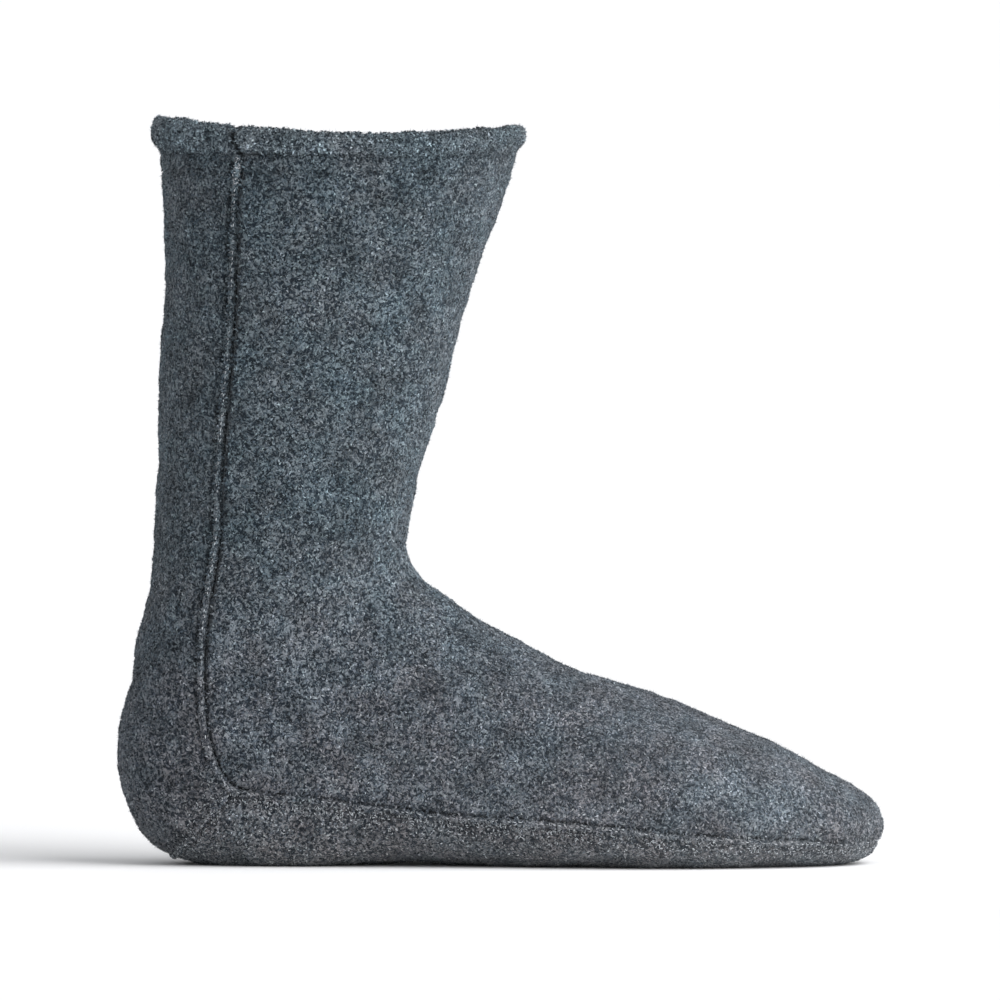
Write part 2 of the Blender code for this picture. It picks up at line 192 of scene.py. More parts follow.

# Soft creases, listed one by one. station and across say where a crease has its middle, bend how
# its ends run up or down, reach how far across it goes, and depth is negative on a ridge.
Crease = namedtuple("Crease", "panel station across bend reach width depth")
CREASES = (
    Crease("front", 16.9, 0.30, 1.8, 0.40, 0.0090, 0.0010),
    Crease("front", 16.6, -0.34, 1.8, 0.40, 0.0085, 0.0010),
    Crease("front", 18.6, 0.42, 1.5, 0.34, 0.0080, 0.0008),
    Crease("front", 18.9, -0.40, 1.5, 0.34, 0.0085, 0.0009),
    Crease("front", 21.4, 0.35, 1.1, 0.36, 0.0100, 0.0007),
    Crease("front", 9.4, 0.30, 0.8, 0.50, 0.0120, 0.0009),
    Crease("front", 7.0, -0.25, 0.5, 0.50, 0.0110, 0.0008),
    Crease("front", 25.6, -0.45, -0.8, 0.34, 0.0130, 0.0008),
    Crease("front", 27.2, 0.40, 0.9, 0.36, 0.0130, 0.0009),
    Crease("back", 20.5, 0.00, 0.9, 0.80, 0.0090, 0.0009),
    Crease("back", 22.6, 0.10, 0.8, 0.70, 0.0090, 0.0007),
    Crease("back", 27.0, -0.20, 0.4, 0.70, 0.0140, 0.0008),
    Crease("sole", 11.0, 0.00, 0.0, 0.90, 0.0300, -0.0016),
)


def all_sections():
    """One row of numbers for each station, with one more past either end for the curves."""
    foot_sizes = (FOOT_LENGTH, INSTEP_HEIGHT, FOOT_LENGTH, TOE_SPRING, BALL_WIDTH, 1, 1, 1, 1)
    foot = np.array(FOOT_ROWS) * foot_sizes
    shaft = []
    for height, lean, inset, flare, *shape in SHAFT_ROWS:
        middle = ANKLE_HEIGHT + height * (RIM_HEIGHT - ANKLE_HEIGHT)
        back = inset * BACK_INSET
        depth = ANKLE_DEPTH + flare * (COLLAR_DEPTH - ANKLE_DEPTH)
        width = ANKLE_WIDTH + flare * (COLLAR_WIDTH - ANKLE_WIDTH)
        rise = lean * ANKLE_LEAN
        shaft.append([back + depth, middle + rise, back, middle - rise, width / 2, *shape])
    start, end, above = foot[-1][:2], np.array(shaft[0][:2]), np.array(shaft[1][:2])
    shaft_front = above - end
    corner = end - shaft_front * (THROAT_BEND * (end[1] - start[1]) / shaft_front[1])
    heel = []
    for share, base_at, base, half, *shape in HEEL_ROWS:
        top = start * (1 - share) ** 2 + corner * 2 * share * (1 - share) + end * share**2
        heel.append([*top, base_at * FOOT_LENGTH, base * ANKLE_HEIGHT, half * HEEL_WIDTH, *shape])
    first = foot[0]
    tip = np.array([FOOT_LENGTH, TOE_SPRING, FOOT_LENGTH, TOE_SPRING, 0, *first[5:]])
    beyond_tip = np.array([*first[2:4], *first[:2], -first[4], *first[5:]])
    rows = np.vstack([beyond_tip, tip, foot, heel, shaft])
    return np.vstack([rows, 2 * rows[-1] - rows[-2]])


SECTIONS = all_sections()


def section_at(station):
    row = min(int(station), RIM_STATION - 1)
    t = station - row
    before, start, end, after = SECTIONS[row : row + 4]
    slope = 0.5 * t * (end - before)
    bow = t * t * (before - 2.5 * start + 2 * end - 0.5 * after)
    turn = t * t * t * (1.5 * (start - end) + 0.5 * (after - before))
    return Section(*(start + slope + bow + turn))


def ring_at(station):
    """One side of the section's outline, from its base to its top, with its running length."""
    section = section_at(station)
    turn = np.linspace(0, math.pi / 2, RING_STEPS)
    rise, swing = np.sin(turn).clip(0, 1), np.cos(turn).clip(0, 1)
    low, high = 2 / section.base_full, 2 / section.top_full
    lower = section.widest * (1 - swing**low)
    upper = section.widest + (1 - section.widest) * rise[1:] ** high
    shares = np.concatenate([lower, upper])
    outs = section.half * np.concatenate([rise**low, swing[1:] ** high])
    depth = math.hypot(section.top_x - section.base_x, section.top_z - section.base_z)
    steps = np.hypot(np.diff(shares) * depth, np.diff(outs))
    lengths = run_so_far(steps)
    return Ring(section, shares, outs, lengths, np.interp(section.seam, shares, lengths))


def ring_points(ring, side, lengths):
    """Points at the lengths along one side of a ring, as an array."""
    section = ring.section
    share = np.interp(lengths, ring.lengths, ring.shares)
    out = np.interp(lengths, ring.lengths, ring.outs)
    x = section.base_x + share * (section.top_x - section.base_x) - HEEL_REST_AT
    z = section.base_z + share * (section.top_z - section.base_z)
    return np.stack([x, side * out, np.maximum(z, 0)], axis=-1)


def unit(vectors):
    return vectors / np.maximum(np.linalg.norm(vectors, axis=-1, keepdims=True), 1e-12)


def bell(distance, width):
    return np.exp(-((distance / width) ** 2))


def smooth_step(value, low, high):
    share = np.clip((value - low) / (high - low), 0, 1)
    return share * share * (3 - 2 * share)


def run_so_far(steps):
    return np.concatenate([[0], np.cumsum(steps)])


def normals_of(points):
    """Directions out of a grid whose rows run up the sock and columns round its front."""
    down_rows = np.gradient(points, axis=0)
    over_columns = np.gradient(points, axis=1)
    return unit(np.cross(over_columns, down_rows))


def bump_field(points, size, seed):
    """Smooth noise of one feature size over an array of points, from about -0.5 to 0.5."""
    shift = Vector((seed * 7.3, seed * 3.1, seed * 5.7))
    flat = points.reshape(-1, 3)
    values = [noise.noise(Vector(point) / size + shift) for point in flat]
    return np.array(values).reshape(points.shape[:-1])


def even_stations(first, last, count):
    """Stations at even steps along the cloth, closer together at the toe tip and the rim."""
    fine = np.linspace(first, last, 400)
    lines = []
    for station in fine:
        ring = ring_at(station)
        lengths = np.array([0, ring.seam_length, ring.lengths[-1]])
        lines.append(ring_points(ring, 1, lengths))
    steps = np.linalg.norm(np.diff(np.array(lines), axis=0), axis=-1).mean(axis=1)
    middles = (fine[1:] + fine[:-1]) / 2
    closer = 1 + 1.6 * (middles < 3) + 1.4 * (middles > RIM_STATION - 1)
    run = run_so_far(steps * closer)
    return np.interp(np.linspace(0, run[-1], count), run, fine)


def from_edge(whole, count):
    """Distances from a panel's edge to its middle: close together at first, then even."""
    fine = np.array(EDGE_COLUMNS) * min(1, whole * 0.4 / EDGE_COLUMNS[-1])
    rest = np.linspace(fine[-1], whole, count - len(fine) + 1)
    return np.concatenate([fine, rest[1:]])


# All are grids: pinch says how far the cloth is drawn in and how dark the shade painted there is,
# fully at 1 and with little nap left past that, and edge how far off its seams are
Panel = namedtuple("Panel", "points normals pinch edge")
PanelCut = namedtuple("PanelCut", "first last over_top rows half_columns")
PANEL_CUTS = {
    "front": PanelCut(0, RIM_STATION, True, 300, 48),
    "sole": PanelCut(0, HEEL_STATION, False, 160, 30),
    "back": PanelCut(HEEL_STATION, RIM_STATION, False, 180, 30),
}

# A panel before it is puckered: across runs from -1 to 1, and step is a station's length
Cloth = namedtuple("Cloth", "stations points normals to_edge across step")


def panel_cloth(part):
    """One panel laid smooth over the last."""
    cut = PANEL_CUTS[part]
    stations = even_stations(cut.first, cut.last, cut.rows)
    side = np.repeat([-1, 1], [cut.half_columns, cut.half_columns - 1])
    points, to_edge, across = [], [], []
    for station in stations:
        ring = ring_at(station)
        whole = ring.lengths[-1] - ring.seam_length if cut.over_top else ring.seam_length
        whole = max(whole - CLEARANCE / 2, 0)
        half = from_edge(whole, cut.half_columns)
        off = np.concatenate([half, half[-2::-1]])
        lengths = ring.lengths[-1] - (whole - off) if cut.over_top else whole - off
        points.append(ring_points(ring, side, lengths))
        to_edge.append(off)
        across.append(side * (1 - off / max(whole, 1e-9)))
    points, to_edge, across = np.array(points), np.array(to_edge), np.array(across)
    normals = normals_of(points) * (1 if cut.over_top else -1)
    if cut.first == 0:
        normals[0] = (1, 0, 0)
    step = np.linalg.norm(np.gradient(points, stations, axis=0), axis=-1)
    return Cloth(stations[:, None], points, normals, to_edge, across, step)


def crease_depths(part, cloth):
    """How deep the listed creases lie at each point of a panel."""
    depths = np.zeros(cloth.step.shape)
    for crease in CREASES:
        if crease.panel == part:
            aside = cloth.across - crease.across
            away = (cloth.stations - crease.station - crease.bend * aside**2) * cloth.step
            middle = np.exp(-((aside / crease.reach) ** 4))
            depths += crease.depth * middle * bell(away, crease.width)
    return depths


def panel_sheet(part):
    """The outer face of one panel, with grooves along its seams, puffs and creases, and shade
    painted in the grooves and under the hem.
    """
    cloth = panel_cloth(part)
    pull = SEAM_PULLS[part]
    stations, points, to_edge = cloth.stations, cloth.points, cloth.to_edge
    to_heel_seam = np.abs(stations - HEEL_STATION) * cloth.step
    if part != "front":
        to_edge = np.minimum(to_edge, to_heel_seam)

    on_foot = smooth_step(stations, *TOE_TO_FOOT)
    on_shaft = smooth_step(stations, *HEEL_TO_SHAFT)
    drawn = DRAWN_AT_TOE + DRAWN_ON_FOOT * on_foot + DRAWN_ON_SHAFT * on_shaft
    drawn = drawn * np.clip(0.95 + 1.5 * bump_field(points, GATHER_SIZE, 7), 0.4, 1.3)
    # painted shade: dark in the groove beside the seam, and fainter further off on the back and
    # sole
    dark_to = GROOVE_AT + 0.5 * pull.width * on_shaft
    fade = pull.width * (0.6 + 0.4 * on_shaft)
    pinch = drawn * pull.shade * (1 - smooth_step(to_edge, dark_to, dark_to + fade))
    pinch = np.maximum(pinch, pull.around * bell(to_edge, FLECK_REACH))
    # painted shade of the heel seam's edge on the sole
    if part == "sole":
        line = bell(to_heel_seam - GROOVE_AT, HEEL_LINE_WIDTH)
        pinch = np.maximum(pinch, HEEL_LINE_SHADE * drawn * line)

    lift = -drawn * pull.depth * (1 - smooth_step(to_edge, GROOVE_AT, GROOVE_AT + pull.width))
    lift += pull.swell * bell(to_edge - SWELL_AT, SWELL_WIDTH)
    puff = TOE_PUFF if part == "front" else TOE_PUFF_BELOW
    toe = bell(stations - TOE_PUFF_AT, TOE_PUFF_REACH)
    lift += puff * toe * smooth_step(to_edge, *TOE_PUFF_RISE)
    lift -= crease_depths(part, cloth)

    under_rim = (RIM_STATION - stations) * cloth.step
    # the tuck below the hem: a shallow groove with painted shade in it
    broken = np.clip(0.55 + 1.6 * bump_field(points, HEM_TUCK_GAPS, 4), 0, 1)
    tuck = bell(under_rim - HEM_TUCK_AT, HEM_TUCK_WIDTH) * broken
    lift -= HEM_TUCK_DEPTH * tuck + RIM_DIP * bell(under_rim, RIM_DIP_WIDTH)
    pinch = np.maximum(pinch, HEM_TUCK_SHADE * tuck)
    # painted shade just under the hem's roll
    pinch = np.maximum(pinch, RIM_SHADE * bell(under_rim, RIM_SHADE_WIDTH))

    calm = np.clip(to_edge / CALM_REACH, 0, 1) ** 0.5
    for seed, (size, height) in enumerate(ROUGH_SWELLS, 1):
        lift += calm * height * bump_field(points, size, seed)
    points = points + cloth.normals * lift[..., None]
    points[..., 2] = np.maximum(points[..., 2], 0.0002)
    return Panel(points, cloth.normals, pinch, to_edge)


def grid_mesh(panel, merge=1e-7):
    """A bmesh grid with its corners moved to a panel's points, rows by columns."""
    points = panel.points
    rows, columns = points.shape[:2]
    bm = bmesh.new()
    bmesh.ops.create_grid(bm, x_segments=columns - 1, y_segments=rows - 1, size=1)
    pinch = bm.verts.layers.float.new("pinch")
    for vert in bm.verts:
        column = round((vert.co.x + 1) / 2 * (columns - 1))
        row = round((vert.co.y + 1) / 2 * (rows - 1))
        vert.co = points[row, column]
        vert[pinch] = panel.pinch[row, column]
    bmesh.ops.remove_doubles(bm, verts=bm.verts, dist=merge)
    return bm


def finished(bm, name):
    mesh = bpy.data.meshes.new(name)
    bm.to_mesh(mesh)
    bm.free()
    mesh.shade_smooth()
    return mesh


def link_piece(name, mesh, material):
    mesh.materials.append(material)
    thing = bpy.data.objects.new(name, mesh)
    SCENE.collection.objects.link(thing)
    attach(thing, "root")
    return thing


def middle_line(point):
    """The spot on the sock's own middle line that lies nearest a point of its surface."""
    if point.z > 0.09 and point.x < 0.075:
        return Vector((0.012 + (point.z - 0.09) * 0.1, 0, point.z))
    return Vector((min(max(point.x, 0), 0.205), 0, 0.025))


def add_sheet(name, panel, material, wall, inward=False):
    """A sheet of cloth from a panel, facing out of the sock, or into it, with a wall."""
    bm = grid_mesh(panel)
    bmesh.ops.recalc_face_normals(bm, faces=bm.faces)
    facing = 0
    for face in bm.faces:
        centre = face.calc_center_median()
        facing += (centre - middle_line(centre)).dot(face.normal)
    if (facing < 0) != inward:
        bmesh.ops.reverse_faces(bm, faces=bm.faces)
    thing = link_piece(name, finished(bm, name), material)
    solid = thing.modifiers.new("wall", "SOLIDIFY")
    solid.thickness = wall
    solid.offset = -1
    return thing


# Nap

Nap = namedtuple("Nap", "curls hairs curl_length curl_rise hair_length tone")
NAPS = {
    "front": Nap(40000, 44000, 0.0022, 0.00035, 0.0015, 0.97),
    "back": Nap(22000, 24000, 0.0022, 0.00042, 0.0015, 0.96),
    # painted light: the sole's nap is lighter, where the floor lights the sole's side
    "sole": Nap(23000, 14000, 0.0019, 0.00036, 0.0012, 1.28),
    # painted light: the hem's nap is lighter, where light from above falls on the roll
    "hem": Nap(11000, 18000, 0.0021, 0.00060, 0.0018, 1.7),
    "seam": Nap(8500, 4000, 0.0019, 0.00036, 0.0012, 1.05),
}
NAP_SEED = 11  # of the first piece of nap, and one more for each next one

# The shades of the fibres that are spun together, and how much of each there is
NAP_TONES = np.array([0.010, 0.036, 0.095, 0.165, 0.245, 0.335])
NAP_ODDS = (0.20, 0.20, 0.24, 0.21, 0.12, 0.03)
NAP_TINT = np.array([0.885, 1.0, 1.125])
DARK_TINT, LIGHT_TINT = 2.2, 0.75  # powers of the tint: dark fibres are bluer than light ones
LIGHTEST_CURL, LIGHTEST_HAIR = 0.35, 0.26
# painted shade along each curl and hair: darker at the roots, down in the nap, lighter where they
# rise
CURL_PAINTED_SHADE = np.array([0.55, 0.55, 1.15, 1.15, 0.95])  # root, root, bend, bend, tip
HAIR_PAINTED_SHADE = np.array([0.7, 0.7, 1.25])

# Where the cloth is fully drawn in, how much of the nap is missing and how much darker the nap is
# painted there, as shade
NAP_THINNING = 0.45
NAP_DIMMING = 0.55
NAP_DARKEST = 0.06

CURL_HALF_WIDTHS = (0.00020, 0.00033)
CURL_BENDS = (0.5, 1.3)
CURL_ROOT = 0.00015  # under the cloth
HAIR_HALF_WIDTHS = (0.00006, 0.00012)
HAIR_LIFTS = (15, 60)  # degrees off the cloth
HAIR_ROOT = 0.0001
LONG_HAIRS = 0.30  # the share of the hairs that stand well off the cloth
LONG_HAIR_LIFT = 25
LONG_HAIR_REACH = 0.15


def scatter(panel, count, random, near=None):
    """Spots spread over a panel, with their directions and painted shade, few where the cloth is
    pinched.

    near keeps them within about that distance of the seams. The painted shade is darker once for
    each stitch, at its pit.
    """
    points, normals, pinch, edge = panel
    down = points[1:, :-1] - points[:-1, :-1]
    over = points[:-1, 1:] - points[:-1, :-1]
    areas = np.linalg.norm(np.cross(down, over), axis=-1)
    if near is None:
        odds = areas * (1 - NAP_THINNING * pinch[:-1, :-1])
    else:
        odds = areas * bell(edge, near)[:-1, :-1]
    odds = odds.ravel() / odds.sum()
    cells = random.choice(len(odds), size=count, p=odds)
    rows, columns = np.unravel_index(cells, areas.shape)
    u, v = random.random((2, count, 1))
    spots = (
        points[rows, columns] * (1 - u) * (1 - v)
        + points[rows + 1, columns] * u * (1 - v)
        + points[rows, columns + 1] * (1 - u) * v
        + points[rows + 1, columns + 1] * u * v
    )
    outward = unit(normals[rows, columns])
    sideways = unit(np.cross(outward, down[rows, columns] + 1e-9))
    # painted shade, darker at each stitch's pit
    stitch_shade = 0.95 - 0.5 * np.cos(spots.sum(axis=1) / STITCH_PITCH * 2 * math.pi)
    return spots, outward, sideways, pinch[rows, columns] * stitch_shade


def shades(count, random, tone, lightest):
    picked = NAP_TONES[random.choice(len(NAP_TONES), size=count, p=NAP_ODDS)]
    picked = np.minimum(picked, lightest) * random.uniform(0.8, 1.25, count) * tone
    bluer = np.interp(picked, (0.01, 0.20), (DARK_TINT, LIGHT_TINT))
    return picked[:, None] * NAP_TINT ** bluer[:, None] * random.uniform(0.97, 1.03, (count, 3))


def curls(spots, outward, sideways, random, longest, rise):
    """Bent blades that lie on the cloth: two corners at the root, two at the bend, a tip."""
    count = len(spots)
    ahead = np.cross(outward, sideways)
    turn = random.uniform(0, 2 * math.pi, (count, 1))
    bend = turn + random.uniform(*CURL_BENDS, (count, 1)) * random.choice([-1, 1], (count, 1))
    length = random.uniform(0.55, 1.0, (count, 1)) * longest
    width = random.uniform(*CURL_HALF_WIDTHS, (count, 1))
    first = np.cos(turn) * sideways + np.sin(turn) * ahead
    second = np.cos(bend) * sideways + np.sin(bend) * ahead
    beside_root = np.cross(first, outward) * width
    beside_bend = unit(np.cross(first + second, outward)) * width
    root = spots - outward * CURL_ROOT
    top = random.uniform(0.5, 1.0, (count, 1)) * rise
    middle = root + first * length * 0.5 + outward * (top + CURL_ROOT)
    tip = middle + second * length * 0.5 + outward * random.uniform(-0.9, 0.3, (count, 1)) * top
    sides = [root - beside_root, root + beside_root, middle + beside_bend, middle - beside_bend]
    return np.stack([*sides, tip], axis=1)


def hairs(spots, outward, sideways, random, longest):
    """Single fine hairs that stand off the cloth: two corners at the root and a tip."""
    count = len(spots)
    ahead = np.cross(outward, sideways)
    turn = random.uniform(0, 2 * math.pi, (count, 1))
    upright = random.random((count, 1)) < LONG_HAIRS
    lift = np.radians(random.uniform(*HAIR_LIFTS, (count, 1)) + LONG_HAIR_LIFT * upright)
    flat = np.cos(turn) * sideways + np.sin(turn) * ahead
    way = np.cos(lift) * flat + np.sin(lift) * outward
    reach = 1 + LONG_HAIR_REACH * upright
    length = random.uniform(0.4, 1.0, (count, 1)) * longest * reach
    beside = unit(np.cross(way, outward)) * random.uniform(*HAIR_HALF_WIDTHS, (count, 1))
    root = spots - outward * HAIR_ROOT
    return np.stack([root - beside, root + beside, root + way * length], axis=1)


def dimming(pinch):
    """How dark the nap is painted at each spot: shade where the cloth is drawn in."""
    return np.maximum(1 - NAP_DIMMING * pinch, NAP_DARKEST)[:, None]


def nap_mesh(name, blades, strands, colours):
    """One joined mesh: each curl as a body and a tip, each hair as a single triangle."""
    corners = np.concatenate([blades.reshape(-1, 3), strands.reshape(-1, 3)])
    corners[:, 2] = np.maximum(corners[:, 2], 0.0001)
    starts = np.arange(len(blades))[:, None] * 5
    bodies = (starts + [0, 1, 2, 3]).tolist()
    tips = (starts + [3, 2, 4]).tolist()
    singles = (np.arange(len(strands))[:, None] * 3 + [0, 1, 2] + len(blades) * 5).tolist()
    mesh = bpy.data.meshes.new(name)
    mesh.from_pydata(corners.tolist(), [], bodies + tips + singles)
    set_shades(mesh, colours)
    return mesh


def set_shades(mesh, colours):
    """Keeps a colour for each corner of a mesh, for its material to read."""
    layer = mesh.color_attributes.new("shade", "FLOAT_COLOR", "POINT")
    values = np.ones((len(colours), 4))
    values[:, :3] = colours
    layer.data.foreach_set("color", values.ravel())


def add_nap(name, panels, nap, material, seed):
    """The nap over some panels, as one joined mesh of curls and hairs, each in its shade."""
    random = np.random.default_rng(seed)
    sizes = np.array([np.linalg.norm(np.ptp(p.points.reshape(-1, 3), axis=0)) for p in panels])
    shares = sizes / sizes.sum()

    def over_panels(count):
        made = [scatter(p, int(count * share), random) for p, share in zip(panels, shares)]
        return [np.concatenate(parts) for parts in zip(*made)]

    *place, pinch = over_panels(nap.curls)
    blades = curls(*place, random, nap.curl_length, nap.curl_rise)
    blade_tones = shades(len(blades), random, nap.tone, LIGHTEST_CURL) * dimming(pinch)
    *place, pinch = over_panels(nap.hairs)
    strands = hairs(*place, random, nap.hair_length)
    strand_tones = shades(len(strands), random, nap.tone, LIGHTEST_HAIR) * dimming(pinch)
    blade_colours = blade_tones[:, None, :] * CURL_PAINTED_SHADE[None, :, None]
    strand_colours = strand_tones[:, None, :] * HAIR_PAINTED_SHADE[None, :, None]
    colours = np.concatenate([blade_colours.reshape(-1, 3), strand_colours.reshape(-1, 3)])
    mesh = nap_mesh(name, blades, strands, colours)
    return link_piece(name, mesh, material)


# Materials

# The dark and light of each fleece: dark fibres with shade painted in the gaps between curls, and
# light flecks
Heather = namedtuple("Heather", "dark light")
HEATHERS = {
    "upper": Heather((0.008, 0.013, 0.020), (0.192, 0.208, 0.228)),
    # painted light: the sole's fleece is lighter, where the floor lights the sole's side
    "sole": Heather((0.008, 0.012, 0.018), (0.200, 0.210, 0.226)),
    "lining": Heather((0.016, 0.019, 0.024), (0.160, 0.178, 0.200)),
    "seam": Heather((0.010, 0.015, 0.022), (0.220, 0.238, 0.260)),
    # painted light: the hem's fleece is lighter, where light from above falls on the roll
    "hem": Heather((0.012, 0.018, 0.026), (0.260, 0.283, 0.310)),
}
RUBBED_GREY = (0.090, 0.102, 0.115)
SHEEN_TINT = (0.84, 0.92, 1.0)
FLEECE_SHEEN = 0.25
NAP_SHEEN = 0.20
FLECK_SCALE = 660  # the scales are those of noise textures in metres
BREAK_SCALE = 600
BLOTCH_SCALE = 80
HUE_SCALE = 55
PLY_SCALE = 2400


def new_material(name, roughness, sheen=0.0):
    material = bpy.data.materials.new(name)
    material.use_nodes = True
    shader = material.node_tree.nodes["Principled BSDF"]
    shader.inputs["Roughness"].default_value = roughness
    shader.inputs["Sheen Weight"].default_value = sheen
    shader.inputs["Sheen Roughness"].default_value = 0.5
    shader.inputs["Sheen Tint"].default_value = (*SHEEN_TINT, 1)
    shader.inputs["Specular IOR Level"].default_value = 0.06
    return material, shader


class Maker:
    """Adds nodes to one material and links them."""

    def __init__(self, material):
        self.nodes = material.node_tree.nodes
        self.links = material.node_tree.links
        self.coords = self.add("TexCoord").outputs["Object"]

    def add(self, kind, **values):
        """A new node, with the values of its sockets by their names."""
        node = self.nodes.new("ShaderNode" + kind)
        for name, value in values.items():
            node.inputs[name].default_value = value
        return node

    def join(self, kind, operation, first, second):
        node = self.add(kind)
        node.operation = operation
        self.links.new(first, node.inputs[0])
        self.links.new(second, node.inputs["Scale" if operation == "SCALE" else 1])
        return node.outputs[0]

    def noise(self, scale, detail, rough=0.6, distortion=0.0):
        node = self.add("TexNoise", Scale=scale, Detail=detail, Roughness=rough)
        node.inputs["Distortion"].default_value = distortion
        self.links.new(self.coords, node.inputs["Vector"])
        return node.outputs["Fac"]

    def stitch_shade(self, pitch):
        """Painted shade of the stitch pits: light and dark in turn along any seam, once for each of
        its stitches.
        """
        node = self.add("TexWave", Scale=2 * math.pi / (10 * pitch), Distortion=2.0, Detail=1.0)
        node.bands_direction = "DIAGONAL"
        self.links.new(self.coords, node.inputs["Vector"])
        return node.outputs["Fac"]

    def range(self, value, *limits):
        """A value brought from the first two limits to the last two."""
        node = self.add("MapRange")
        for name, limit in zip(("From Min", "From Max", "To Min", "To Max"), limits):
            node.inputs[name].default_value = limit
        self.links.new(value, node.inputs["Value"])
        return node.outputs["Result"]

    def ramp(self, value, *stops):
        node = self.add("ValToRGB")
        ramp = node.color_ramp
        while len(ramp.elements) < len(stops):
            ramp.elements.new(1.0)
        for element, (position, colour) in zip(ramp.elements, stops):
            element.position = position
            element.color = (*colour, 1)
        self.links.new(value, node.inputs["Fac"])
        return node.outputs["Color"]

    def times(self, first, second):
        return self.join("Math", "MULTIPLY", first, second)

    def scale(self, colour, by):
        return self.join("VectorMath", "SCALE", colour, by)

    def tint(self, colour, by):
        return self.join("VectorMath", "MULTIPLY", colour, by)

    def attribute(self, name, output):
        node = self.add("Attribute")
        node.attribute_name = name
        return node.outputs[output]

    def bump(self, height, distance, strength, shader):
        node = self.add("Bump", Strength=strength, Distance=distance)
        self.links.new(height, node.inputs["Height"])
        self.links.new(node.outputs["Normal"], shader.inputs["Normal"])

    def blotches(self):
        """Uneven patches of the dyed fibre: lighter and darker, and a little bluer or redder."""
        patches = self.range(self.noise(BLOTCH_SCALE, 4, 0.65), 0.32, 0.68, 0.69, 1.33)
        bluer, redder = (0.36, (0.91, 0.98, 1.0)), (0.64, (1.0, 0.96, 0.95))
        return self.scale(self.ramp(self.noise(HUE_SCALE, 2), bluer, redder), patches)

    def part_of_coords(self, axis):
        split = self.add("SeparateXYZ")
        self.links.new(self.coords, split.inputs["Vector"])
        return split.outputs[axis]

    def rub(self, colour):
        """Flecks that run together into one grey, more so towards the toe."""
        node = self.add("Mix")
        node.data_type = "RGBA"
        share = self.range(self.part_of_coords("X"), 0.02, 0.20, 0.06, 0.25)
        self.links.new(share, node.inputs["Factor"])
        colours = [socket for socket in node.inputs if socket.type == "RGBA"]
        self.links.new(colour, colours[0])
        colours[1].default_value = (*RUBBED_GREY, 1)
        return next(socket for socket in node.outputs if socket.type == "RGBA")

    def painted_floor_bounce(self):
        """Painted light: the floor's warm reflection low on the foot, and the shaft painted darker
        and bluer.
        """
        return self.ramp(
            self.range(self.part_of_coords("Z"), 0.0, 0.13, 0.0, 1.0),
            (0.0, (1.0, 0.92, 0.86)),
            (0.15, (1.0, 0.96, 0.95)),
            (0.46, (0.92, 0.895, 0.90)),
            (0.95, (0.79, 0.865, 0.875)),
        )


def heather(kind):
    """Heathered fleece: dark fibres with painted shade in the gaps, curly flecks of grey over soft
    blotches, matted.
    """
    dark, light = HEATHERS[kind]
    material, shader = new_material(kind + "_heather", 1.0, FLEECE_SHEEN)
    make = Maker(material)
    flecks = make.noise(FLECK_SCALE, 1.5, 0.6, 1.2)
    middle = tuple((a + b) * 0.42 for a, b in zip(dark, light))
    colour = make.rub(make.ramp(flecks, (0.42, dark), (0.52, middle), (0.62, light)))
    colour = make.tint(colour, make.blotches())
    # painted light: the floor's warm reflection low down, and a darker, bluer shaft
    colour = make.tint(colour, make.painted_floor_bounce())
    # painted shade in the grooves beside the seams, broken up and darker at each stitch
    broken = make.range(make.noise(BREAK_SCALE, 1), 0.36, 0.56, 0.45, 1.0)
    pitted_shade = make.times(broken, make.range(make.stitch_shade(STITCH_PITCH), 0.1, 0.6, 0.45, 1.0))
    groove_shade = make.times(make.attribute("pinch", "Fac"), pitted_shade)
    colour = make.scale(colour, make.range(groove_shade, 0.0, 0.8, 1.0, 0.16))
    make.links.new(colour, shader.inputs["Base Color"])
    make.bump(flecks, 0.0008, 1.0, shader)
    return material


def nap_material():
    """Curls and hairs, each in its own shade from the mesh, with painted shade at their roots and
    in the grooves, over the same soft blotches.
    """
    material, shader = new_material("fleece_nap", 0.95, NAP_SHEEN)
    make = Maker(material)
    colour = make.tint(make.rub(make.attribute("shade", "Color")), make.blotches())
    # painted light: the floor's warm reflection low down, and a darker, bluer shaft
    colour = make.tint(colour, make.painted_floor_bounce())
    make.links.new(colour, shader.inputs["Base Color"])
    return material


def thread_material():
    """Overlock thread, with its ply and a shade for each stitch."""
    material, shader = new_material("seam_thread", 0.7, 0.1)
    make = Maker(material)
    ply = make.noise(PLY_SCALE, 2)
    colour = make.ramp(ply, (0.3, (0.72, 0.75, 0.78)), (0.7, (1.0, 1.0, 1.0)))
    colour = make.tint(colour, make.attribute("shade", "Color"))
    make.links.new(colour, shader.inputs["Base Color"])
    make.bump(ply, 0.0001, 0.6, shader)
    return material


# Seams

Route = namedtuple("Route", "spots across stations run")
SeamFrame = namedtuple("SeamFrame", "sideways out")


def even_route(spots, across, stations, steps):
    along = run_so_far(np.linalg.norm(np.diff(spots, axis=0), axis=1))
    wanted = np.linspace(0, along[-1], steps)
    columns = np.column_stack([spots, across, stations])
    even = np.stack([np.interp(wanted, along, column) for column in columns.T], axis=-1)
    return Route(even[:, :3], unit(even[:, 3:6]), even[:, 6], along[-1])


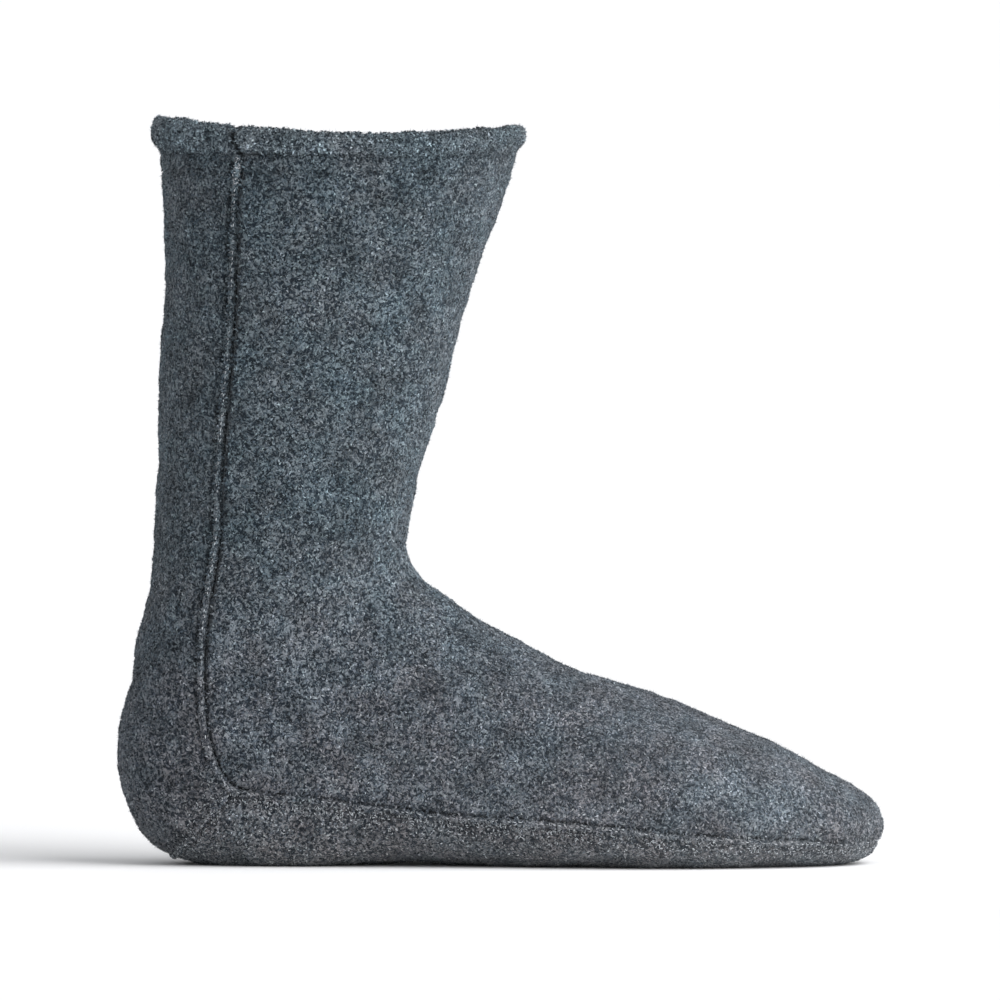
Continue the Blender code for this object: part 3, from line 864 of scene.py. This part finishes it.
def long_seam_route(steps):
    """Down one side from the rim, forward over the sole's edge, round the toe and back."""
    stations = np.linspace(RIM_STATION, 0, 700)[:-1]
    spots, across = [], []
    for station in stations:
        ring = ring_at(station)
        ahead = ring.seam_length + max(ring.lengths[-1] * 0.02, 1e-6)
        pair = ring_points(ring, -1, np.array([ring.seam_length, ahead]))
        spots.append(pair[0])
        across.append(unit(pair[1] - pair[0]))
    tip = ring_points(ring_at(0), 1, np.array([0.0]))[0]
    flip = np.array([1, -1, 1])
    spots = np.array([*spots, tip, *(spot * flip for spot in reversed(spots))])
    across = np.array([*across, (0, 0, 1), *(way * flip for way in reversed(across))])
    return even_route(spots, across, np.concatenate([stations, [0], stations[::-1]]), steps)


def heel_seam_route(steps):
    """Across under the heel, from one side's long seam to the other's."""
    ring = ring_at(HEEL_STATION)
    reach = ring.seam_length - BAND_WIDTH * 0.6
    lengths = np.linspace(-reach, reach, steps)
    side = np.where(lengths < 0, -1, 1)
    spots = ring_points(ring, side, np.abs(lengths))
    behind = ring_points(ring_at(HEEL_STATION + 0.05), side, np.abs(lengths))
    across = unit(spots - behind)
    return even_route(spots, across, np.full(steps, float(HEEL_STATION)), steps)


def seam_frame(route):
    """Directions across and out of a seam, at each of its spots."""
    along = unit(np.gradient(route.spots, axis=0))
    out = unit(np.cross(route.across, along))
    inside = np.array([middle_line(Vector(spot)) for spot in route.spots])
    flip = np.where(np.einsum("ij,ij->i", out, route.spots - inside) < 0, -1, 1)
    out = out * flip[:, None]
    sideways = unit(np.cross(out, along))
    same = np.where(np.einsum("ij,ij->i", sideways, route.across) < 0, -1, 1)
    return SeamFrame(sideways * same[:, None], out)


def band_height(share):
    """The band's height over the cloth, in shares of its rise, steep on the front side."""
    ahead = (share - BAND_PEAK) / (1 - BAND_PEAK)
    behind = (share - BAND_PEAK) / (1 + BAND_PEAK)
    steep = np.clip(1 - ahead**2, 0, 1) ** 0.5
    gentle = np.clip(1 - behind**2, 0, 1) ** 0.8
    return np.where(share > BAND_PEAK, steep, gentle)


def seam_band(route, directions):
    """The outer face of a raised seam: a low uneven band, gathered at every stitch."""
    share = np.linspace(-1, 1, 11)
    position = np.linspace(0, route.run, len(route.spots))
    pulse = 0.5 + 0.5 * np.cos(position / STITCH_PITCH * 2 * math.pi)
    width = (BAND_WIDTH / 2) * (1 - 0.10 * pulse)
    on_shaft = smooth_step(route.stations, HEEL_STATION - 1, HEEL_STATION + 1)
    rise = BAND_RISE * (1 - 0.25 * pulse) * (0.72 + 0.28 * on_shaft)
    height = (rise[:, None] + BAND_ROOT) * band_height(share) - BAND_ROOT
    aside = width[:, None] * share
    points = (
        route.spots[:, None]
        + directions.sideways[:, None] * aside[..., None]
        + directions.out[:, None] * height[..., None]
    )
    rough = 0.0005 * bump_field(points, 0.0028, 5) + 0.0003 * bump_field(points, 0.0012, 6)
    points = points + directions.out[:, None] * rough[..., None]
    points[..., 2] = np.maximum(points[..., 2], 0.0001)
    # painted shade where the band's edges meet the cloth
    pinch = np.broadcast_to(np.clip(2.6 * np.abs(share) - 1.7, 0, 0.8), height.shape)
    normals = np.repeat(directions.out[:, None], len(share), 1)
    off_sole = np.clip(route.stations - HEEL_STATION, 0, 1)[:, None] * FLECK_REACH * 1.3
    return Panel(points, normals, pinch, np.broadcast_to(off_sole, height.shape))


# A kind of stitch: across and reach say in shares of half the band's width where its thread
# starts and how far it runs over the seam, slant how far it leans along it, in shares of the
# pitch, and shown how much of it lies on top
Stitch = namedtuple("Stitch", "across reach slant shown bright")
LOCK_STITCH = Stitch(0.42, -0.12, 0.62, 0.66, 0.52)
LOOP_STITCH = Stitch(0.55, -1.20, 0.45, 0.30, 0.20)
THREAD_SIDES = 3
THREAD_STEPS = 5
THREAD_TINT = np.array([0.96, 1.0, 1.04])
THREAD_SEED = 21
FLECK_LENGTHS = (0.0005, 0.0012)
FLECK_ARCH = 0.00032


def stitch_paths(route, directions, stitch, random):
    """The middle lines of one kind of stitch along a seam, with a shade for each."""
    count = int(route.run / STITCH_PITCH)
    last = len(route.spots) - 1
    at = (np.arange(count) + random.uniform(-0.12, 0.12, count)) / count * last
    at = at[(at > 1) & (at < last - 2)]
    patchy = np.array([noise.noise(Vector((spot * 0.11, stitch.reach * 9, 2.0))) for spot in at])
    shown = random.random(len(at)) < np.clip(stitch.shown + 1.2 * patchy, 0.04, 1)
    at = at[shown]
    share = np.linspace(0, 1, THREAD_STEPS)
    stride = stitch.slant * STITCH_PITCH / route.run * last
    length = random.uniform(0.6, 1.1, (len(at), 1))
    index = np.clip(at[:, None] + stride * length * share, 0, last - 0.001)
    crossing = stitch.across + stitch.reach * share * length
    crossing = crossing + random.uniform(-0.10, 0.10, (len(at), 1))
    low = index.astype(int)
    part = (index - low)[..., None]

    def between(rows):
        return rows[low] * (1 - part) + rows[low + 1] * part

    arch = 0.00020 * np.sin(np.pi * share) - 0.00008
    height = BAND_RISE * band_height(np.clip(crossing, -1, 1)) * 0.92 + arch
    paths = (
        between(route.spots)
        + between(directions.sideways) * (crossing * BAND_WIDTH / 2)[..., None]
        + between(directions.out) * height[..., None]
    )
    return paths, stitch.bright * random.uniform(0.55, 1.3, len(at))


def fleck_paths(panel, count, bright, random):
    """The middle lines of short bits of thread that show every way near a seam."""
    spots, outward, sideways, _ = scatter(panel, count, random, FLECK_REACH)
    ahead = np.cross(outward, sideways)
    turn = random.uniform(0, 2 * math.pi, (count, 1))
    way = np.cos(turn) * sideways + np.sin(turn) * ahead
    share = np.linspace(-0.5, 0.5, THREAD_STEPS)
    length = random.uniform(*FLECK_LENGTHS, (count, 1))
    arch = FLECK_ARCH * np.cos(np.pi * share) + 0.00002
    paths = spots[:, None] + way[:, None] * (length * share)[..., None]
    paths = paths + outward[:, None] * arch[None, :, None]
    return paths, bright * random.uniform(0.45, 1.3, count)


def add_threads(name, groups, material):
    """Many short threads as one joined mesh: each a tube round its own middle line."""
    paths = np.concatenate([paths for paths, _ in groups])
    tones = np.concatenate([tones for _, tones in groups])
    count, steps = paths.shape[:2]
    along = unit(np.gradient(paths, axis=1))
    beside = unit(np.cross(along, np.array([0.31, 0.52, 0.80])))
    over = np.cross(along, beside)
    angle = np.arange(THREAD_SIDES) / THREAD_SIDES * 2 * math.pi
    taper = np.clip(1.6 * np.sin(np.pi * np.linspace(0.08, 0.92, steps)), 0.3, 1)
    circle = np.cos(angle)[:, None] * beside[:, :, None] + np.sin(angle)[:, None] * over[:, :, None]
    corners = paths[:, :, None] + circle * (THREAD_RADIUS * taper)[None, :, None, None]
    corners[..., 2] = np.maximum(corners[..., 2], 0.0001)
    turn = np.arange(THREAD_SIDES)
    after = (turn + 1) % THREAD_SIDES
    ring = np.arange(steps - 1)[:, None] * THREAD_SIDES
    above = ring + THREAD_SIDES
    sides = np.stack([ring + turn, ring + after, above + after, above + turn], axis=-1)
    start = np.arange(count)[:, None, None] * (steps * THREAD_SIDES)
    quads = (start + sides.reshape(-1, 4)[None]).reshape(-1, 4).tolist()
    ends = np.stack([turn[::-1], turn + (steps - 1) * THREAD_SIDES])
    caps = (start + ends[None]).reshape(-1, THREAD_SIDES).tolist()
    mesh = bpy.data.meshes.new(name)
    mesh.from_pydata(corners.reshape(-1, 3).tolist(), [], quads + caps)
    mesh.shade_smooth()
    set_shades(mesh, np.repeat(tones, steps * THREAD_SIDES)[:, None] * THREAD_TINT)
    return link_piece(name, mesh, material)


# Hem

HemRim = namedtuple("HemRim", "spots outward share ahead")


def hem_rim(columns):
    """The collar's edge, with its spots closer together at the seams.

    share runs from the back of the collar to its front, and ahead from the seam.
    """
    ring = ring_at(RIM_STATION)
    whole = ring.lengths[-1]
    fine = np.linspace(-1, 1, 2001)
    closer = 1 + 4 * bell(np.abs(fine) * whole - ring.seam_length, 0.004)
    run = run_so_far((closer[1:] + closer[:-1]) / 2)
    around = np.interp(np.linspace(0, run[-1], columns), run, fine)
    side = np.where(around < 0, -1, 1)
    spots = ring_points(ring, side, np.abs(around) * whole)
    along = np.gradient(spots, axis=0)
    along[0] = along[-1] = spots[1] - spots[-2]
    outward = unit(np.cross(UPWARD, along))
    back = ring.section.base_x - HEEL_REST_AT
    share = (spots[:, 0] - back) / COLLAR_DEPTH
    return HemRim(spots, outward, share, np.abs(around) * whole - ring.seam_length)


def rim_noise(rim, scale, layer):
    return np.array([noise.noise(Vector((x * scale, y * scale, layer))) for x, y, _ in rim.spots])


def hem_height(rim, ripple):
    """How high the hem stands: lowest at the sides, uneven, and notched at the seams."""
    share = rim.share
    height = HEM_BACK + share * (HEM_FRONT - HEM_BACK) - 4 * HEM_SAG * share * (1 - share)
    height = height * (1 + HEM_RIPPLE * ripple) + HEM_NUBS * rim_noise(rim, 330, 9.0)
    height = height - HEM_NOTCH * bell(rim.ahead + HEM_NOTCH_SLANT / 2, 1.3 * HEM_NOTCH_WIDTH)
    return height + HEM_NOTCH_LIP * bell(rim.ahead - 0.0030, 0.0028)


def hem_sheet(columns, steps):
    """The hem's roll: rows run round its section and columns round the collar."""
    rim = hem_rim(columns)
    ripple = rim_noise(rim, 90, 4.0)
    height = hem_height(rim, ripple)
    middle = (HEM_PROUD - FLEECE_WALL - HEM_INSIDE) / 2
    reach = (HEM_PROUD + FLEECE_WALL + HEM_INSIDE) / 2
    angle = np.linspace(0, 2 * math.pi, steps)
    sine, cosine = np.sin(angle), np.cos(angle)
    swell_up = (np.sign(sine) * np.abs(sine) ** 0.9)[:, None]
    swell_out = (np.sign(cosine) * np.abs(cosine) ** 0.9)[:, None]
    rising = 0.5 + 0.5 * swell_up
    notch = bell(rim.ahead[None, :] - HEM_NOTCH_SLANT * (0.5 - rising), HEM_NOTCH_WIDTH)
    up = -HEM_DROP + (height[None, :] + HEM_DROP) * rising
    # The outer face eases into the shaft at its lower edge, and higher up at the front
    ease = 0.16 + 0.84 * smooth_step(rising, 0.04, 0.40 + 0.30 * rim.share[None, :])
    ease = np.where(swell_out > 0, ease, 1)
    thick = reach * (1 - 0.70 * notch) * (1 + HEM_RIPPLE * ripple[None, :])
    out = middle + thick * swell_out * ease + HEM_LEAN * up
    points = rim.spots[None] + rim.outward[None] * out[..., None]
    points[..., 2] += up
    for size, depth in HEM_BUMPS:
        bumps = depth * bump_field(points, size, 8)
        bumps[:, -1] = bumps[:, 0]
        bumps[-1] = bumps[0]
        points = points + rim.outward[None] * bumps[..., None]
    normals = unit(rim.outward[None] * swell_out[..., None] + UPWARD * swell_up[..., None])
    # painted shade in the notch at the seams and along the roll's lower edge
    low_edge = bell(up + HEM_DROP, 0.0008) * (swell_out > 0)
    pinch = np.maximum(np.minimum(1.8 * notch, 1.6), 0.3 * low_edge)
    return Panel(points, normals, pinch, np.ones(up.shape))


def add_hem(panel, material):
    """The hem as one closed roll round the collar."""
    bm = grid_mesh(panel, 2e-6)
    bmesh.ops.recalc_face_normals(bm, faces=bm.faces)
    return link_piece("hem_roll", finished(bm, "hem_roll"), material)


def lining_sheet(rows, columns):
    """The inner face of the fleece, seen down the collar."""
    stations = np.concatenate([[0], np.linspace(0.3, RIM_STATION, rows - 1)])
    around = np.linspace(-1, 1, columns)
    side = np.where(around < 0, -1, 1)
    outer = []
    for station in stations:
        ring = ring_at(station)
        outer.append(ring_points(ring, side, np.abs(around) * ring.lengths[-1]))
    outer = np.array(outer)
    outward = -normals_of(outer)
    outward[:, 0] = outward[:, -1] = unit(outward[:, 1] + outward[:, -2])
    outward[0] = (1, 0, 0)
    inner = outer - outward * LINING_INSET
    inner[..., 2] = np.maximum(inner[..., 2], LINING_INSET)
    grid = inner.shape[:2]
    return Panel(inner, -outward, np.zeros(grid), np.ones(grid))


# Building


def add_panels(sheets):
    upper_fleece = heather("upper")
    front = add_sheet("front_panel", sheets["front"], upper_fleece, PANEL_WALL)
    back = add_sheet("back_panel", sheets["back"], upper_fleece, PANEL_WALL)
    sole = add_sheet("sole_panel", sheets["sole"], heather("sole"), PANEL_WALL)
    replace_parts(front, "upper")
    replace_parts(back, "upper")
    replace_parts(sole, "sole")
    lining = lining_sheet(110, 61)
    add_sheet("lining", lining, heather("lining"), LINING_WALL, inward=True)


def part_of(panel, rows):
    return Panel(*(grid[rows] for grid in panel))


def add_seams(sheets):
    """Both raised seams with their threads. Gives their bands, for the nap."""
    random = np.random.default_rng(THREAD_SEED)
    fleece = heather("seam")
    thread = thread_material()
    routes = (long_seam_route(1300), heel_seam_route(110))
    ways = [seam_frame(route) for route in routes]
    bands = [seam_band(route, way) for route, way in zip(routes, ways)]
    long_band = add_sheet("long_seam_band", bands[0], fleece, BAND_WALL)
    heel_band = add_sheet("heel_seam_band", bands[1], fleece, BAND_WALL)
    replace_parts(long_band, "panel_seam")
    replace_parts(heel_band, "heel_seam")
    groups = [
        stitch_paths(routes[0], ways[0], LOCK_STITCH, random),
        stitch_paths(routes[0], ways[0], LOOP_STITCH, random),
        fleck_paths(bands[0], 560, 0.40, random),
        fleck_paths(sheets["sole"], 1900, 0.46, random),
        fleck_paths(part_of(bands[0], slice(1, 15)), 60, 0.66, random),
        fleck_paths(part_of(bands[0], slice(-15, -1)), 60, 0.66, random),
    ]
    add_threads("long_seam_threads", groups, thread)
    groups = [
        stitch_paths(routes[1], ways[1], LOCK_STITCH, random),
        stitch_paths(routes[1], ways[1], LOOP_STITCH, random),
        fleck_paths(bands[1], 300, 0.58, random),
        fleck_paths(part_of(sheets["back"], slice(0, 7)), 240, 0.50, random),
    ]
    add_threads("heel_seam_threads", groups, thread)
    return bands


def add_all_nap(sheets, hem, bands):
    material = nap_material()
    half = len(sheets["front"].points) // 2
    low = part_of(sheets["front"], slice(half + 1))
    high = part_of(sheets["front"], slice(half, None))
    places = (
        ("front_nap_low", [low], "front", "upper_fleece"),
        ("front_nap_high", [high], "front", "upper_fleece"),
        ("back_nap", [sheets["back"]], "back", "upper_fleece"),
        ("sole_nap", [sheets["sole"]], "sole", "sole_fleece"),
        ("hem_nap", [hem], "hem", "hem_fleece"),
        ("seam_nap", bands, "seam", "seam_thread"),
    )
    for seed, (name, panels, kind, slot) in enumerate(places, NAP_SEED):
        add_nap(name, panels, NAPS[kind], material, seed)


def build_sock():
    sheets = {part: panel_sheet(part) for part in PANEL_CUTS}
    add_panels(sheets)
    hem = hem_sheet(361, 41)
    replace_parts(add_hem(hem, heather("hem")), "collar_hem")
    bands = add_seams(sheets)
    add_all_nap(sheets, hem, bands)


# Stage

CAMERA_DISTANCE = 7.0
CAMERA_ELEVATION = math.radians(2)
WIDTH_SEEN = 0.368
SENSOR = 36.0  # millimetres
PICTURE_CENTRE = Vector((0.0885, 0, 0.134))
FLOOR_HALF = 150
FLOOR_COLOUR = (0.93, 0.93, 0.94)
SKY_COLOUR = (0.98, 0.99, 1.0)
SKY_STRENGTH = 0.60
KEY_SPREAD = math.radians(60)
KEY_ENERGY = 2.8
KEY_PLACE = Vector((0, 0, 2))
KEY_AIM = KEY_PLACE + Vector((-0.72, 0.38, -0.60))
SIDE_SIZE = 0.30
SIDE_ENERGY = 0.68
SIDE_PLACE = Vector((0.31, -0.23, 0.10))
SIDE_AIM = Vector((0.19, 0, 0.04))


def aimed(name, data, place, aim):
    """An object at a place, with its own -Z towards the spot that it is aimed at."""
    thing = bpy.data.objects.new(name, data)
    thing.location = place
    thing.rotation_euler = (aim - place).to_track_quat("-Z", "Y").to_euler()
    SCENE.collection.objects.link(thing)
    return thing


def add_camera():
    """The photograph's angle: from the side, a little above, with a long lens."""
    lens = bpy.data.cameras.new("camera")
    lens.sensor_width = SENSOR
    lens.lens = SENSOR * CAMERA_DISTANCE / WIDTH_SEEN
    above = CAMERA_DISTANCE * math.tan(CAMERA_ELEVATION)
    place = Vector((PICTURE_CENTRE.x, -CAMERA_DISTANCE, PICTURE_CENTRE.z + above))
    SCENE.camera = aimed("camera", lens, place, PICTURE_CENTRE)


def add_floor():
    bm = bmesh.new()
    bmesh.ops.create_grid(bm, x_segments=1, y_segments=1, size=FLOOR_HALF)
    floor = bpy.data.objects.new("floor", finished(bm, "floor"))
    material, shader = new_material("pale_floor", 0.9)
    shader.inputs["Base Color"].default_value = (*FLOOR_COLOUR, 1)
    floor.data.materials.append(material)
    SCENE.collection.objects.link(floor)


def add_lights():
    """A bright room, a wide soft key from above and the right, and a small light at the toe."""
    world = bpy.data.worlds.new("studio")
    world.use_nodes = True
    background = world.node_tree.nodes["Background"]
    background.inputs["Color"].default_value = (*SKY_COLOUR, 1)
    background.inputs["Strength"].default_value = SKY_STRENGTH
    SCENE.world = world
    SCENE.view_settings.view_transform = "Standard"
    key = bpy.data.lights.new("key_light", "SUN")
    key.angle = KEY_SPREAD
    key.energy = KEY_ENERGY
    aimed("key_light", key, KEY_PLACE, KEY_AIM)
    side = bpy.data.lights.new("side_light", "AREA")
    side.size = SIDE_SIZE
    side.energy = SIDE_ENERGY
    aimed("side_light", side, SIDE_PLACE, SIDE_AIM)


def build_stage():
    add_floor()
    add_lights()
    add_camera()


build_stage()
build_sock()
